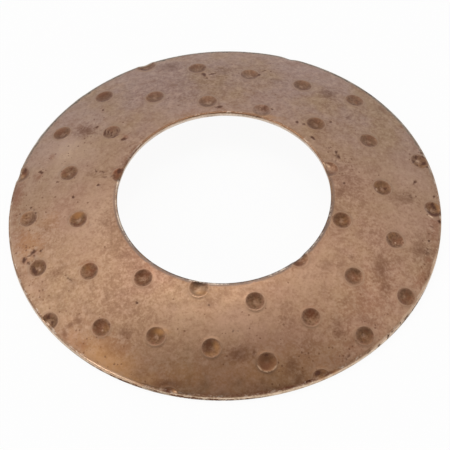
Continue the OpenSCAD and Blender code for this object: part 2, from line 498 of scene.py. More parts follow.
# What the photograph shows on the convex face
MARKS: tuple[Mark, ...] = (
    # Broad tones of the face, partly real tone and partly painted light and shade
    bare(at=(95, 212), size=4.5, strength=0.6, length=1.7, slant=75),
    bare(at=(80, 152), size=4, strength=0.7, length=1.6, slant=50),
    bare(at=(67, 150), size=6.5, strength=0.78, length=1.4, slant=55),
    bare(at=(69, 154), size=2.4, strength=0.84, length=1.4, slant=60),
    haze(at=(122, 300), size=4.5, strength=0.32, length=1.6, slant=-40),
    haze(at=(120, 234), size=3, strength=0.6, length=2, slant=-75),
    bare(at=(240, 322), size=4, strength=0.6, length=1.6, slant=10),
    bare(at=(182, 318), size=3.5, strength=0.45, length=1.6, slant=-10),
    bare(at=(308, 280), size=3, strength=0.4, length=2, slant=45),
    bare(at=(405, 222), size=4, strength=0.4, length=1.5, slant=-70),
    bare(at=(404, 180), size=3.5, strength=0.55, length=1.5, slant=-40),
    haze(at=(200, 82), size=6, strength=0.35, length=2.4, slant=4),
    haze(at=(345, 110), size=4, strength=0.17, length=2.4, slant=-24),
    haze(at=(345, 180), size=2.6, strength=0.5, length=2, slant=-70),
    haze(at=(378, 240), size=3, strength=0.3, length=1.5, slant=-70),
    rust(at=(367, 300), size=4, strength=0.48, length=2, slant=55),
    haze(at=(340, 212), size=2.2, strength=0.42, length=2.4, slant=88),
    rust(at=(352, 350), size=2, strength=0.4, length=2.2, slant=38),
    haze(at=(431, 272), size=1.4, strength=0.5, length=3, slant=72),
    rust(at=(437, 235), size=1.6, strength=0.6, length=4, slant=-85),
    rust(at=(16, 207), size=1, strength=0.4, length=5, slant=86),
    rust(at=(132, 154), size=0.7, strength=0.6, length=5, slant=55),
    haze(at=(131, 156), size=0.7, strength=0.6, length=5, slant=55),
    haze(at=(138, 266), size=2.6, strength=0.45, length=3, slant=-48),
    varnish(at=(262, 374), size=5, strength=0.4, length=2.6, slant=8),
    varnish(at=(110, 362), size=3, strength=0.85, length=2.2, slant=-28),
    bare(at=(118, 369), size=2, strength=0.6, length=2.4, slant=-28),
    varnish(at=(185, 376), size=2.5, strength=0.4, length=2, slant=-6),
    rust(at=(182, 377), size=2.5, strength=0.35, length=2, slant=-6),
    rust(at=(118, 364), size=2.4, strength=0.2, length=1.6, slant=-28),
    # Painted highlight: the orange line along the die roll of the near-left rim
    varnish(at=(126, 376), size=0.8, strength=0.9, length=1.6, slant=-28),
    varnish(at=(137, 381.5), size=0.8, strength=0.9, length=1.8, slant=-22),
    haze(at=(141, 374), size=1.2, strength=0.45, length=1.6, slant=-40),
    # Dark reddish line along the brow of the near rim, a painted dark reflection of the die roll, with
    # golden spots
    rust(at=(207, 394.5), size=0.35, strength=0.6, length=7, slant=-2),
    rust(at=(237, 395), size=0.35, strength=0.6, length=7, slant=3),
    rust(at=(263, 392), size=0.4, strength=0.75, length=7, slant=8),
    rust(at=(287, 387.5), size=0.4, strength=0.75, length=6, slant=13),
    rust(at=(308, 381.5), size=0.35, strength=0.7, length=6, slant=19),
    haze(at=(272, 389), size=0.7, strength=0.5, length=7, slant=9),
    haze(at=(257, 387), size=1, strength=0.32, length=3, slant=6),
    rust(at=(330, 373), size=0.3, strength=0.7, length=6, slant=26),
    varnish(at=(322, 377), size=0.4, strength=0.9, length=2.4, slant=22),
    varnish(at=(335, 371.5), size=0.4, strength=0.9, length=2.4, slant=26),
    # Grit on the right of the rim, and pale lines along the rim's brow, partly rubbed metal and partly
    # painted highlights
    grime(at=(407, 316.5), size=0.15, strength=0.85, length=8, slant=48),
    grime(at=(400.5, 323), size=0.18, strength=0.9),
    grime(at=(392.5, 331.5), size=0.22, strength=0.9),
    grime(at=(389, 336), size=0.25),
    grime(at=(380, 345), size=0.22, strength=0.9, length=1.6, slant=40),
    grime(at=(369, 352), size=0.25, strength=0.6, length=2, slant=38),
    bare(at=(440, 240), size=0.45, strength=1.1, length=10, slant=84),
    bare(at=(434.5, 266), size=0.45, strength=1.1, length=9, slant=75),
    bare(at=(424, 290), size=0.45, strength=1.05, length=9, slant=62),
    bare(at=(407, 315), size=0.4, strength=0.95, length=9, slant=52),
    # Painted highlight: pale lines along the die roll of the near-left rim
    bare(at=(95, 364.5), size=0.28, length=14, slant=-29),
    bare(at=(122, 377), size=0.28, strength=0.9, length=12, slant=-24),
    bare(at=(383, 340), size=0.35, strength=0.7, length=9, slant=40),
    bare(at=(11.5, 222), size=0.35, strength=0.7, length=12, slant=88),
    bare(at=(14, 256), size=0.35, strength=0.6, length=9, slant=-78),
    varnish(at=(80, 345), size=2, strength=0.4, length=2, slant=-40),
    varnish(at=(150, 380), size=1.6, strength=0.6, length=2.6, slant=-18),
    varnish(at=(205, 112), size=2, strength=0.2, length=3.6, slant=6),
    # Where specks crowd
    specks(at=(34, 235), size=4, length=2.4, slant=84),
    specks(at=(45, 300), size=3, strength=0.8, length=1.8, slant=-60),
    specks(at=(52, 168), size=3.4, strength=0.7, length=1.4, slant=40),
    specks(at=(88, 135), size=3, strength=0.5, length=1.6, slant=40),
    specks(at=(98, 352), size=4, strength=0.7, length=2.2, slant=-32),
    rust(at=(110, 346), size=1.8, strength=0.6, length=1.8, slant=-28),
    haze(at=(113, 351), size=1.7, strength=0.34, length=1.8, slant=-28),
    specks(at=(300, 368), size=3.6, strength=0.8, length=1.8, slant=25),
    specks(at=(352, 345), size=2.6, length=2.6, slant=38),
    specks(at=(428, 245), size=2.4, strength=0.8, length=2.4, slant=-80),
    specks(at=(338, 160), size=2, strength=0.8, length=2.2, slant=-62),
    specks(at=(418, 160), size=2.2, length=1.4, slant=-50),
    specks(at=(245, 335), size=4, strength=0.5, length=1.6),
    # Grit and dark chips at the left of the rim
    grime(at=(25, 170), size=0.5, strength=0.8, dent=0.05, length=2, slant=62),
    varnish(at=(22, 175), size=0.5, strength=0.5, length=1.5, slant=62),
    rust(at=(24, 172), size=0.7, strength=0.9, length=1.5, slant=62),
    grime(at=(41, 172), size=0.42, strength=0.9, dent=0.04, length=1.5, slant=-20),
    rust(at=(39, 176), size=0.9, strength=0.9),
    rust(at=(52, 157), size=0.8, strength=0.8),
    rust(at=(34, 253), size=0.9, strength=0.8),
    rust(at=(25, 261), size=0.9, strength=0.8),
    grime(at=(33, 252), size=0.52, dent=0.05, length=1.4, slant=50),
    grime(at=(30, 255), size=0.28, strength=0.8, length=2.4, slant=35),
    grime(at=(35, 256), size=0.35, strength=0.9, dent=0.05),
    grime(at=(24, 260), size=0.42, dent=0.05, length=1.6, slant=80),
    grime(at=(28, 263), size=0.35, strength=0.8, dent=0.03),
    grime(at=(41, 251), size=0.25, strength=0.8),
    bare(at=(29, 257), size=0.5, strength=0.9),
    rust(at=(17, 196), size=1.1, length=2.8, slant=82),
    rust(at=(24, 240), size=1.8, strength=0.65, length=2, slant=-75),
    varnish(at=(29, 244), size=2.6, strength=0.38, length=1.4, slant=-75),
    rust(at=(36, 241), size=1.5, strength=0.6, length=1.6),
    varnish(at=(50, 222), size=2, strength=0.35),
    haze(at=(55, 274), size=1.2, strength=0.9),
    grime(at=(69, 279), size=0.24, strength=0.45, length=6, slant=-42),
    haze(at=(47, 228), size=1.3, strength=0.5),
    # Pin holes and flecks on the left and far parts
    grime(at=(57, 182), size=0.3, strength=0.7),
    grime(at=(73, 197), size=0.3, strength=0.9, dent=0.03),
    grime(at=(98, 185), size=0.32, dent=0.04),
    haze(at=(104, 174), size=1, strength=0.35, length=2.6, slant=-6),
    grime(at=(96, 171), size=0.24, strength=0.7, length=2.6, slant=-60),
    grime(at=(103, 172), size=0.22, strength=0.55, length=3, slant=-30),
    grime(at=(105, 177), size=0.24, strength=0.6, length=2.4, slant=10),
    grime(at=(112, 176), size=0.26, strength=0.6, length=3, slant=35),
    rust(at=(117, 172), size=0.9, length=1.5, slant=50),
    grime(at=(119, 171), size=0.35, strength=0.9, length=1.8, slant=55),
    grime(at=(91, 225), size=0.25, strength=0.6),
    grime(at=(103, 110), size=0.32, strength=0.9, dent=0.03),
    grime(at=(124, 139), size=0.42, dent=0.05, length=1.3),
    rust(at=(126, 137), size=0.7),
    grime(at=(97, 127), size=0.28, strength=0.8),
    grime(at=(137, 303), size=0.28, strength=0.9, dent=0.03),
    haze(at=(85, 131), size=1.7, strength=0.9, length=1.4, slant=10),
    rust(at=(85, 131), size=1.6, strength=0.6),
    haze(at=(169, 67), size=1.8, strength=0.7, length=1.5),
    haze(at=(221, 70), size=1.7, strength=0.6, length=1.4),
    grime(at=(232, 64), size=0.22, strength=0.8, length=1.6),
    # Scuffs by two of the far pockets
    grime(at=(204, 74), size=0.42, dent=0.04, length=1.8, slant=-50),
    grime(at=(207, 78), size=0.36, dent=0.04),
    grime(at=(212, 74), size=0.3, dent=0.03, length=2.5, slant=12),
    bare(at=(208, 75), size=0.35, strength=0.8, length=1.6),
    grime(at=(259, 75), size=0.32, strength=0.9, length=1.4, slant=70),
    grime(at=(264, 71), size=0.2, strength=0.9, length=4, slant=10),
    grime(at=(218, 107), size=0.32, strength=0.9, length=3, slant=4),
    thin(at=(262, 110), size=2, strength=0.75),
    haze(at=(263, 107.5), size=0.8, strength=0.9, length=1.8),
    haze(at=(267, 111), size=0.6, strength=0.7, length=1.6, slant=-50),
    grime(at=(263, 107.5), size=0.75, strength=0.55, length=1.6),
    varnish(at=(266, 116), size=0.6, strength=0.6, length=5, slant=-10),
    grime(at=(252.5, 115.5), size=0.22, strength=0.8, length=7, slant=-10),
    bare(at=(313, 145), size=0.5, strength=0.5, length=4, slant=-48),
    rust(at=(170, 129.5), size=0.3, strength=0.95, length=9, slant=29),
    grime(at=(272, 109), size=0.32, strength=0.9, dent=0.03),
    grime(at=(297, 122), size=0.4, dent=0.03),
    grime(at=(304, 124), size=0.34, strength=0.9),
    # Right part, from the bore to the rim
    grime(at=(331, 122), size=0.3, strength=0.9, dent=0.03),
    haze(at=(348, 118), size=0.6),
    grime(at=(313, 138), size=0.34, dent=0.04, length=2, slant=-45),
    grime(at=(328, 148), size=0.3, strength=0.6, length=2, slant=-15),
    grime(at=(336, 152), size=0.34, strength=0.9, dent=0.03, length=1.6, slant=80),
    grime(at=(338, 156), size=0.4, strength=0.9, dent=0.03, length=1.6, slant=-60),
    grime(at=(336, 161), size=0.34, strength=0.8, dent=0.03),
    grime(at=(344, 183), size=0.34, strength=0.8, dent=0.03),
    haze(at=(341, 192), size=0.7, strength=0.9, length=2.2, slant=70),
    haze(at=(327, 94), size=1.5),
    rust(at=(352, 94), size=0.5, strength=0.5),
    grime(at=(372, 95), size=0.5, strength=0.8, length=3.6, slant=-30),
    rust(at=(401, 127), size=0.4),
    grime(at=(415, 182), size=0.34, strength=0.9, dent=0.03, length=2, slant=55),
    grime(at=(411, 197), size=0.5, strength=0.5),
    haze(at=(404, 198), size=1.6, strength=0.7, length=1.6),
    grime(at=(434, 197), size=0.3, strength=0.9, length=1.4, slant=80),
    grime(at=(439, 221), size=0.4, dent=0.04),
    rust(at=(436, 222), size=1, strength=0.8, length=1.5),
    grime(at=(432, 227), size=0.32, strength=0.6, length=1.5),
    grime(at=(429, 241), size=0.28, dent=0.02),
    haze(at=(420, 249), size=1.8, strength=0.8, length=1.3, slant=60),
    grime(at=(428, 251), size=0.7, strength=0.5, length=1.6, slant=80),
    rust(at=(429, 260), size=0.8, strength=0.9),
    rust(at=(423, 276), size=1.2, strength=0.8, length=2.6, slant=60),
    haze(at=(380, 266), size=1.5, length=1.9, slant=84),
    haze(at=(385, 288), size=1.1, strength=0.9, length=1.5, slant=60),
    haze(at=(351, 257), size=0.6, strength=0.9),
    bare(at=(306, 264), size=1.6, strength=0.25, length=1.6, slant=40),
    rust(at=(300, 262), size=0.8, strength=0.85, length=1.8, slant=44),
    haze(at=(298, 263), size=0.5, length=2.4, slant=40),
    # Near part, down to the rim
    haze(at=(78, 320), size=0.8, length=1.3, slant=-60),
    haze(at=(70, 325), size=0.5, length=2.4, slant=30),
    haze(at=(65, 334), size=0.6, length=1.8, slant=100),
    rust(at=(83, 345), size=0.9),
    haze(at=(124, 333), size=1.5, strength=0.6),
    rust(at=(123, 350), size=1.3, strength=0.8),
    grime(at=(105, 357), size=0.24, strength=0.6),
    grime(at=(240, 345), size=0.3, strength=0.5),
    grime(at=(233, 331), size=0.3, strength=0.6),
    grime(at=(238, 331), size=0.26, strength=0.6),
    grime(at=(209, 305), size=0.26, strength=0.6),
    haze(at=(239, 354), size=1.4, length=1.4),
    haze(at=(254, 353), size=0.4, length=2.2, slant=80),
    haze(at=(292, 366), size=1.4, strength=0.8, length=1.4, slant=70),
    haze(at=(299, 379), size=1.1, strength=0.8, length=1.6, slant=65),
    haze(at=(287, 320), size=1.2, strength=0.6),
    haze(at=(340, 333), size=0.9, strength=0.8, length=1.5),
    grime(at=(348, 357), size=0.5, strength=0.5, length=3, slant=35),
    haze(at=(308, 346), size=2.2, strength=0.35),
    bare(at=(357, 323), size=1.6, strength=0.4),
    # Chips and notches of the rim
    haze(at=(166, 386), size=1, strength=1.1, length=2.2, slant=-12),
    rust(at=(167, 391), size=0.5, strength=0.85, length=2, slant=-10),
    varnish(at=(175, 391), size=0.6, strength=0.7, length=1.4, slant=-8),
    grime(at=(318, 373), size=0.5, strength=0.8, length=1.6, slant=25),
    grime(at=(308, 381), size=0.22, strength=0.65, length=4, slant=22),
    bare(at=(146, 65), size=1.4, strength=0.4, length=1.8, slant=15),
    grime(at=(144, 69), size=0.6, strength=0.9, length=2.4, slant=-6),
    haze(at=(290, 58), size=0.8, strength=0.4, dent=0.22, length=1.3, slant=-10),
    # What lies in some of the pockets, and painted highlights and shade in some near pockets
    grime(at=(34, 270), size=0.5, strength=0.9, length=2.2, slant=-65),
    thin(at=(30, 215), size=1.6, strength=0.6),
    grime(at=(27, 209), size=0.22, strength=0.9),
    grime(at=(31, 208), size=0.22, strength=0.9),
    grime(at=(34, 210), size=0.22, strength=0.9),
    grime(at=(36, 213), size=0.22, strength=0.9),
    haze(at=(31, 219), size=1.1, strength=0.8),
    varnish(at=(79, 214), size=0.6, strength=0.75, length=1.6, slant=10),
    rust(at=(80, 223), size=0.9, strength=0.5, length=1.6, slant=20),
    grime(at=(392, 234), size=0.25, strength=0.5, length=4, slant=-45),
    grime(at=(400, 246), size=0.25, strength=0.5, length=3, slant=-45),
    haze(at=(316, 125), size=1.5, strength=0.6, length=1.3, slant=-20),
    haze(at=(208, 101), size=2.4, strength=0.4, length=1.4, slant=-6),
    grime(at=(76, 224), size=0.4, strength=0.45, length=3, slant=-4),
    varnish(at=(87, 267), size=0.8, strength=0.5),
    rust(at=(88, 263), size=0.6, length=2.4, slant=4),
    rust(at=(89, 270), size=1.4, strength=0.75),
    rust(at=(146, 273), size=1.4),
    rust(at=(354, 277), size=1.4, strength=0.75),
    rust(at=(311, 313), size=1.4, strength=0.85),
    rust(at=(100, 325), size=1.3, strength=0.9),
    grime(at=(105, 132), size=0.24, strength=0.95, length=3.6, slant=75),
    grime(at=(108, 132), size=0.24, strength=0.95, length=3.6, slant=75),
    grime(at=(111, 133), size=0.24, strength=0.9, length=3.6, slant=75),
    bare(at=(106, 131), size=0.2, strength=0.95, length=3, slant=75),
    bare(at=(109, 131), size=0.2, strength=0.95, length=3, slant=75),
    grime(at=(115, 136), size=0.35, strength=0.8, length=2.4, slant=24),
    grime(at=(117, 130), size=0.25, strength=0.7, length=2, slant=-50),
    haze(at=(104, 95), size=1.1, strength=0.9, length=1.4, slant=10),
    haze(at=(61, 133), size=1.1, strength=0.8, length=1.4, slant=10),
    grime(at=(48, 317), size=0.4, strength=0.8),
    grime(at=(52, 322), size=0.35, strength=0.8),
    varnish(at=(437, 206), size=0.6, strength=0.55, length=1.5, slant=-55),
    grime(at=(434, 206), size=0.5, strength=0.9, length=2, slant=-45),
    # Painted highlight on the lower lip of this pocket
    bare(at=(428, 211), size=0.8, strength=0.9, length=1.6, slant=-60),
    grime(at=(430, 212), size=0.4, length=2, slant=-35),
    grime(at=(437, 214), size=0.5, length=2, slant=10),
    # Painted highlight: a pale line round this pocket's lower lip
    bare(at=(431, 217), size=0.3, length=4, slant=-32),
    specks(at=(419, 160), size=1.8, strength=2.2, length=1.3, slant=-40),
    grime(at=(416, 157), size=0.35, strength=0.8, length=1.6, slant=40),
    grime(at=(424, 163), size=0.5, strength=0.9, length=1.6, slant=50),
    grime(at=(421, 153), size=0.25, length=1.6),
    grime(at=(427, 167), size=0.3, dent=0.03),
    grime(at=(414, 161), size=0.3, strength=0.9, length=2.4, slant=60),
    grime(at=(418, 165), size=0.25, strength=0.8, length=1.6, slant=20),
    grime(at=(423, 157), size=0.25, strength=0.9, length=1.6, slant=-40),
    bare(at=(418, 160), size=0.9, strength=0.85, length=1.4, slant=40),
    grime(at=(386, 188), size=0.5, strength=0.6),
    bare(at=(377, 189), size=0.6, strength=0.85, length=1.6, slant=60),
    thin(at=(199, 290), size=1.7, strength=0.8),
    rust(at=(195, 288), size=0.35, strength=0.6),
    varnish(at=(202, 293), size=0.5, strength=0.6, length=2.4),
    thin(at=(302, 260), size=1.6, strength=0.55),
    thin(at=(146, 273), size=1.6, strength=0.3),
    thin(at=(354, 276), size=1.6, strength=0.25),
    bare(at=(102, 330), size=0.45, strength=0.9),
    bare(at=(396, 242), size=0.35, strength=0.9),
    haze(at=(194, 281), size=0.55, length=5, slant=-12),
    bare(at=(256, 303), size=0.7, strength=0.72),
    # Painted highlights: golden walls on the right of near pockets
    varnish(at=(160, 331), size=0.6, length=2.2, slant=-5),
    varnish(at=(216, 346), size=0.6, strength=0.8, length=1.6, slant=-70),
    varnish(at=(272, 361), size=0.45, strength=0.45, length=2.2, slant=-75),
    # Painted shade on the upper wall of a near pocket
    haze(at=(266, 356), size=0.6, length=1.6),
    grime(at=(267, 355), size=0.22, strength=0.8, length=2),
    # Painted highlights: pale crescents below a near pocket's lip
    bare(at=(259.5, 368), size=0.45, strength=0.86, length=3, slant=-48),
    bare(at=(267, 371.5), size=0.45, strength=0.84, length=3),
    bare(at=(274.5, 368), size=0.45, strength=0.82, length=3, slant=48),
    haze(at=(266, 363), size=1.5, strength=1.3),
    rust(at=(266, 366), size=1.1, strength=0.9),
    # Painted shade on the upper wall of a near pocket
    haze(at=(209, 347), size=1.2, strength=0.9),
    haze(at=(68, 173), size=1.5, strength=0.45),
    bare(at=(69, 173), size=0.35, strength=0.85),
    # Painted highlight: a pale dot at the upper right of a near pocket's lip
    bare(at=(160, 329), size=0.3, strength=0.8, length=1.6, slant=-40),
    rust(at=(104, 324), size=0.5, strength=0.9, length=1.5, slant=-40),
    haze(at=(99, 332), size=0.8, strength=0.6, length=1.6, slant=15),
    bare(at=(39, 269), size=0.5, strength=0.9),
    # Painted highlight by the pocket that the bore cuts
    bare(at=(328, 165), size=0.45, strength=1.1, length=1.8, slant=-30),
    thin(at=(331, 171), size=1.8, strength=0.65),
    thin(at=(208, 102), size=1.8, strength=0.4),
    thin(at=(250, 75), size=1.8, strength=0.4),
)


@dataclass(frozen=True)
class Film:
    """One film of a finish, laid over the films before it wherever a mask says so.

    Args:
        shade: its sRGB colour.
        follows: name of the mask that it follows.
        start: value of the mask where the film starts.
        full: value of the mask where the film is full.
        most: how much it hides at most.
        ragged: how far the grain breaks its outline, in the mask's own units.
        within: name of a second mask, which thins it.
    """

    shade: str
    follows: str
    start: float
    full: float
    most: float
    ragged: float = 0.0
    within: str = "everywhere"


@dataclass(frozen=True)
class Bronze:
    """What the washer's finishes share: tin bronze under films of oxide, oil and dirt."""

    name: str

    def begin(self) -> tuple[bpy.types.Material, bpy.types.Node]:
        """Start the material.

        Returns:
            The material, and the node that gives its own coordinates, in mm.
        """
        material = bpy.data.materials.new(self.name)
        material.use_nodes = True
        tree = material.node_tree
        tree.nodes.clear()
        where = add_node(tree, "ShaderNodeTexCoord").outputs["Object"]
        return material, add_node(tree, "ShaderNodeMapping", {"Vector": where, "Scale": (1 / MM,) * 3})

    def worn(self, tree: bpy.types.NodeTree, in_mm: bpy.types.Node) -> Masks:
        """Read how strong each kind of wear is, and on which side of the washer a point lies.

        Args:
            tree: the material's tree.
            in_mm: coordinates on the washer, in mm.

        Returns:
            Sockets or values by name.
        """
        masks: Masks = {
            wear.value: add_node(tree, ATTRIBUTE, attribute_name=wear.value).outputs["Fac"]
            for wear in Wear
        }
        across = add_node(tree, "ShaderNodeSeparateXYZ", (in_mm,)).outputs["Y"]
        for side, (start, full) in SIDES.items():
            masks[side] = add_node(tree, RANGE, {"Value": across, "From Min": start, "From Max": full})
        masks["everywhere"] = 1.0
        return masks

    def lay(
        self, tree: bpy.types.NodeTree, colour: object, films: tuple[Film, ...], masks: Masks
    ) -> bpy.types.Node:
        """Lay films one over another.

        Args:
            tree: the material's tree.
            colour: colour under the first film.
            films: the films, from the lowest.
            masks: sockets or values by name, with the grain's tooth, which lies round nought, among them.

        Returns:
            The node that gives the colour of the whole.
        """
        node = partial(add_node, tree)
        for film in films:
            edge = (masks["tooth"], film.ragged, masks[film.follows])
            broken = node(MATH, edge, operation="MULTIPLY_ADD")
            span = {"From Min": film.start, "From Max": film.full, "To Max": film.most}
            cover = node(RANGE, {"Value": broken} | span)
            share = node(MATH, (cover, masks[film.within]), operation="MULTIPLY")
            shade = linear(film.shade)
            colour = node(MIX, {"Factor": share, "A": colour, "B": shade}, data_type="RGBA")
        return colour

    def banded(
        self, tree: bpy.types.NodeTree, place: object, bands: tuple[tuple[float, str, float], ...]
    ) -> bpy.types.Node:
        """Colour by place, from one band to the next.

        Args:
            tree: the material's tree.
            place: place among the bands, from nought to one.
            bands: where each band lies, its sRGB colour and how much it hides.

        Returns:
            The node that gives the colour, and as its alpha how much it hides.
        """
        ramp = add_node(tree, "ShaderNodeValToRGB", (place,))
        stops = ramp.color_ramp.elements
        while len(stops) < len(bands):
            stops.new(1.0)
        for stop, (position, shade, cover) in zip(stops, bands):
            stop.position = position
            stop.color = (*linear(shade)[:3], cover)
        return ramp


@dataclass(frozen=True)
class FaceBronze(Bronze):
    """Tin bronze sheet, rolled, then worn and baked in oil.

    Dull tan metal that mirrors nothing sharply, under a thin milky film of old oil. The film has browned in
    clouds and specks and has dried dark in the pockets, round the spot where the ball bottomed. Pale rings
    on the lips of the pockets are painted highlights, and pale lines on the brows of the cuts are partly
    rubbed metal and partly painted highlights. Grey bands along the brows are painted reflections of the die
    rolls, and the far side carries a painted grey sheen.
    """

    tan: str = "A8856A"
    rose: str = "A97F70"
    olive: str = "A28765"
    pale: str = "C6A48C"
    bright: str = "E4C2A2"
    brown: str = "845F48"
    rust: str = "844C34"
    haze: str = "6C4633"
    varnish: str = "CC965E"
    # Painted grey sheen of the far side
    lilac: str = "A68C84"
    soot: str = "5A3626"
    shadow: str = "5C3A24"
    # Painted grey sheen in the pockets of the far side
    far_pocket_sheen: str = "7E6458"
    # Painted reflections of the die rolls: grey along the brow of the far rim, edged by a dark broken line,
    # and grey-mauve along the brow of the bore on the near side
    rim_brow_reflection: str = "887E70"
    rim_line: str = "5E5040"
    bore_brow_reflection: str = "6E5E56"
    cloud_mm: float = 10.0
    mottle_mm: float = 2.4
    blotch_mm: float = 1.0
    grain_mm: float = 0.42
    grain_h: float = 0.02
    # Cells that may each hold a speck, in mm, the share that does anywhere, and what a crowd adds to it
    speck_mm: float = 0.55
    speck_share: float = 0.006
    speck_crowd: float = 0.25
    # Radius of the smallest speck, and how much larger the largest is, in cells
    speck_least: float = 0.1
    speck_spread: float = 0.3
    # Distance of a pocket's lip from the pocket's middle, and the lip's width, in mm, where the lip's
    # highlight is painted
    lip_mm: float = 1.64
    lip_wide: float = 0.16
    # How metallic the clean face is, what the film in a pocket and grime add to that, and how much
    # rougher either is
    metal: float = 0.92
    film_metal: float = -0.2
    grime_metal: float = -0.85
    matt: float = 0.22
    # How far the film's outline in a pocket is broken, in mm
    pocket_ragged: float = 1.5
    # Film in a pocket: distance from its middle in mm, colour, and how much it hides
    pocket_film: tuple[tuple[float, str, float], ...] = (
        (0.0, "987254", 0.9),
        (0.3, "8C6648", 0.9),
        (0.8, "856043", 0.92),
        (1.15, "8B654A", 0.92),
        (1.38, "967158", 0.87),
        (1.5, "8E6C55", 0.7),
        (1.62, "92725A", 0.55),
        (1.8, "9A7A62", 0.35),
        (2.1, "A88870", 0.0),
    )

    def masks(self, tree: bpy.types.NodeTree, in_mm: bpy.types.Node) -> Masks:
        """Make the masks of the films.

        Args:
            tree: the material's tree.
            in_mm: coordinates on the washer, in mm.

        Returns:
            Sockets by name.
        """
        node = partial(add_node, tree)
        masks = self.worn(tree, in_mm)
        for name, size, detail in (
            ("cloud", self.cloud_mm, 3.0),
            ("mottle", self.mottle_mm, 3.0),
            ("blotch", self.blotch_mm, 2.0),
            ("grain", self.grain_mm, 2.0),
        ):
            masks[name] = node(
                NOISE, {"Vector": in_mm, "Scale": 1 / size, "Detail": detail, "Roughness": 0.6}
            )
        for name in ("from_pocket", "from_rim", "from_bore", "ghost", "luck"):
            masks[name] = node(ATTRIBUTE, attribute_name=name).outputs["Fac"]
        rough_half = node(MIX, {"Factor": 0.5, "A": masks["grain"], "B": masks["blotch"]})
        masks["tooth"] = node(MATH, (rough_half, 0.5), operation="SUBTRACT")
        masks["kept"] = node(MATH, (1.0, masks["thin"]), operation="SUBTRACT", use_clamp=True)
        in_pocket = node(RANGE, {"Value": masks["from_pocket"], "From Min": 1.65, "From Max": 1.3})
        masks["in_pocket"] = node(MATH, (in_pocket, masks["kept"]), operation="MULTIPLY")
        # Pale ring on each pocket's lip, where its highlight is painted
        from_lip = node(MATH, (masks["from_pocket"], self.lip_mm), operation="SUBTRACT")
        from_lip = node(MATH, (from_lip,), operation="ABSOLUTE")
        masks["lip"] = node(RANGE, {"Value": from_lip, "From Min": self.lip_wide, "From Max": 0.0})
        # Where bare marks are strong, the painted highlight on a lip turns bright
        masks["rubbed"] = node(RANGE, {"Value": masks["bare"], "From Min": 0.6, "From Max": 0.85})
        cells = node(
            "ShaderNodeTexVoronoi", {"Vector": in_mm, "Scale": 1 / self.speck_mm}, voronoi_dimensions="2D"
        ).outputs
        chance = node("ShaderNodeSeparateColor", (cells["Color"],)).outputs
        share = (masks["specks"], self.speck_crowd, self.speck_share)
        crowd = node(MATH, share, operation="MULTIPLY_ADD")
        chosen = node(MATH, (chance[0], crowd), operation="LESS_THAN")
        span = (chance[1], self.speck_spread, self.speck_least)
        reach = node(MATH, span, operation="MULTIPLY_ADD")
        spot = node(MATH, (reach, cells["Distance"]), operation="SUBTRACT")
        masks["speck"] = node(MATH, (spot, chosen), operation="MULTIPLY")
        return masks

    def material(self) -> bpy.types.Material:
        """Build the finish of the two faces.

        Returns:
            The finished material.
        """
        material, in_mm = self.begin()
        tree = material.node_tree
        node = partial(add_node, tree)
        masks = self.masks(tree, in_mm)
        # Each film's shade and mask, where on the mask it starts and is full, and how much it hides
        open_films = (
            Film(self.rose, "cloud", 0.5, 0.66, 0.35),
            Film(self.olive, "cloud", 0.49, 0.34, 0.3),
            # Painted grey sheen on the far side
            Film(self.lilac, "cloud", 0.38, 0.54, 0.48, within="far_side"),
            # Bare metal, and in places painted highlights and paler zones of light
            Film(self.pale, "bare", 0.1, 0.95, 0.6, ragged=1.0),
            Film(self.brown, "mottle", 0.5, 0.7, 0.28),
            Film(self.pale, "blotch", 0.5, 0.32, 0.3),
            Film(self.brown, "blotch", 0.52, 0.72, 0.3),
            Film(self.pale, "grain", 0.48, 0.3, 0.3),
            Film(self.brown, "grain", 0.52, 0.72, 0.36),
            # Oxide, burnt oil and haze, which in places paint a dark reflection, highlights and shade
            Film(self.rust, "rust", 0.12, 0.95, 0.5, ragged=1.5),
            Film(self.varnish, "varnish", 0.1, 0.95, 0.6, ragged=1.0),
            Film(self.haze, "ghost", 0.1, 1.0, 0.3, ragged=1.0),
            Film(self.haze, "haze", 0.1, 0.95, 0.6, ragged=1.5),
            # Painted reflections of the die rolls along the brows: of the rim on the far side, of the bore
            # on the near side
            Film(self.rim_brow_reflection, "from_rim", 0.36, 0.1, 0.85, ragged=1.0, within="far_side"),
            Film(self.rim_line, "from_rim", 0.16, 0.0, 0.75, ragged=3.0, within="far_side"),
            Film(self.bore_brow_reflection, "from_bore", 0.45, 0.15, 0.85, ragged=0.6, within="near_side"),
        )
        pocket_films = (
            Film(self.shadow, "grain", 0.42, 0.64, 0.52, within="in_pocket"),
            Film(self.rust, "blotch", 0.5, 0.66, 0.4, within="in_pocket"),
            Film(self.varnish, "mottle", 0.56, 0.7, 0.25, within="in_pocket"),
            # Painted grey sheen in the pockets of the far side
            Film(self.far_pocket_sheen, "in_pocket", 0.2, 1.0, 0.3, within="far_side"),
            Film(self.pale, "from_pocket", 0.6, 0.15, 0.4, ragged=1.5, within="luck"),
            # Painted highlight: a pale ring on each pocket's lip
            Film(self.pale, "lip", 0.4, 0.9, 0.25, ragged=4.0),
            # Marks in the pockets: wear, and in near pockets painted highlights and shade on the walls
            Film(self.varnish, "varnish", 0.1, 0.95, 0.6, ragged=1.0, within="in_pocket"),
            Film(self.rust, "rust", 0.35, 1.0, 0.6, ragged=1.5, within="in_pocket"),
            Film(self.pale, "bare", 0.62, 1.0, 0.7, ragged=1.0, within="in_pocket"),
            Film(self.haze, "haze", 0.1, 0.95, 0.6, ragged=1.5, within="in_pocket"),
            # Bright where bare marks are strong: rubbed metal, and in places painted highlights, with the
            # lip's painted highlight brightest there
            Film(self.bright, "bare", 0.7, 1.1, 0.8, ragged=1.0),
            Film(self.bright, "lip", 0.15, 0.7, 0.8, ragged=1.0, within="rubbed"),
            Film(self.haze, "speck", 0.0, 0.12, 0.6),
            Film(self.soot, "grime", 0.28, 0.75, 0.9, ragged=1.5),
        )
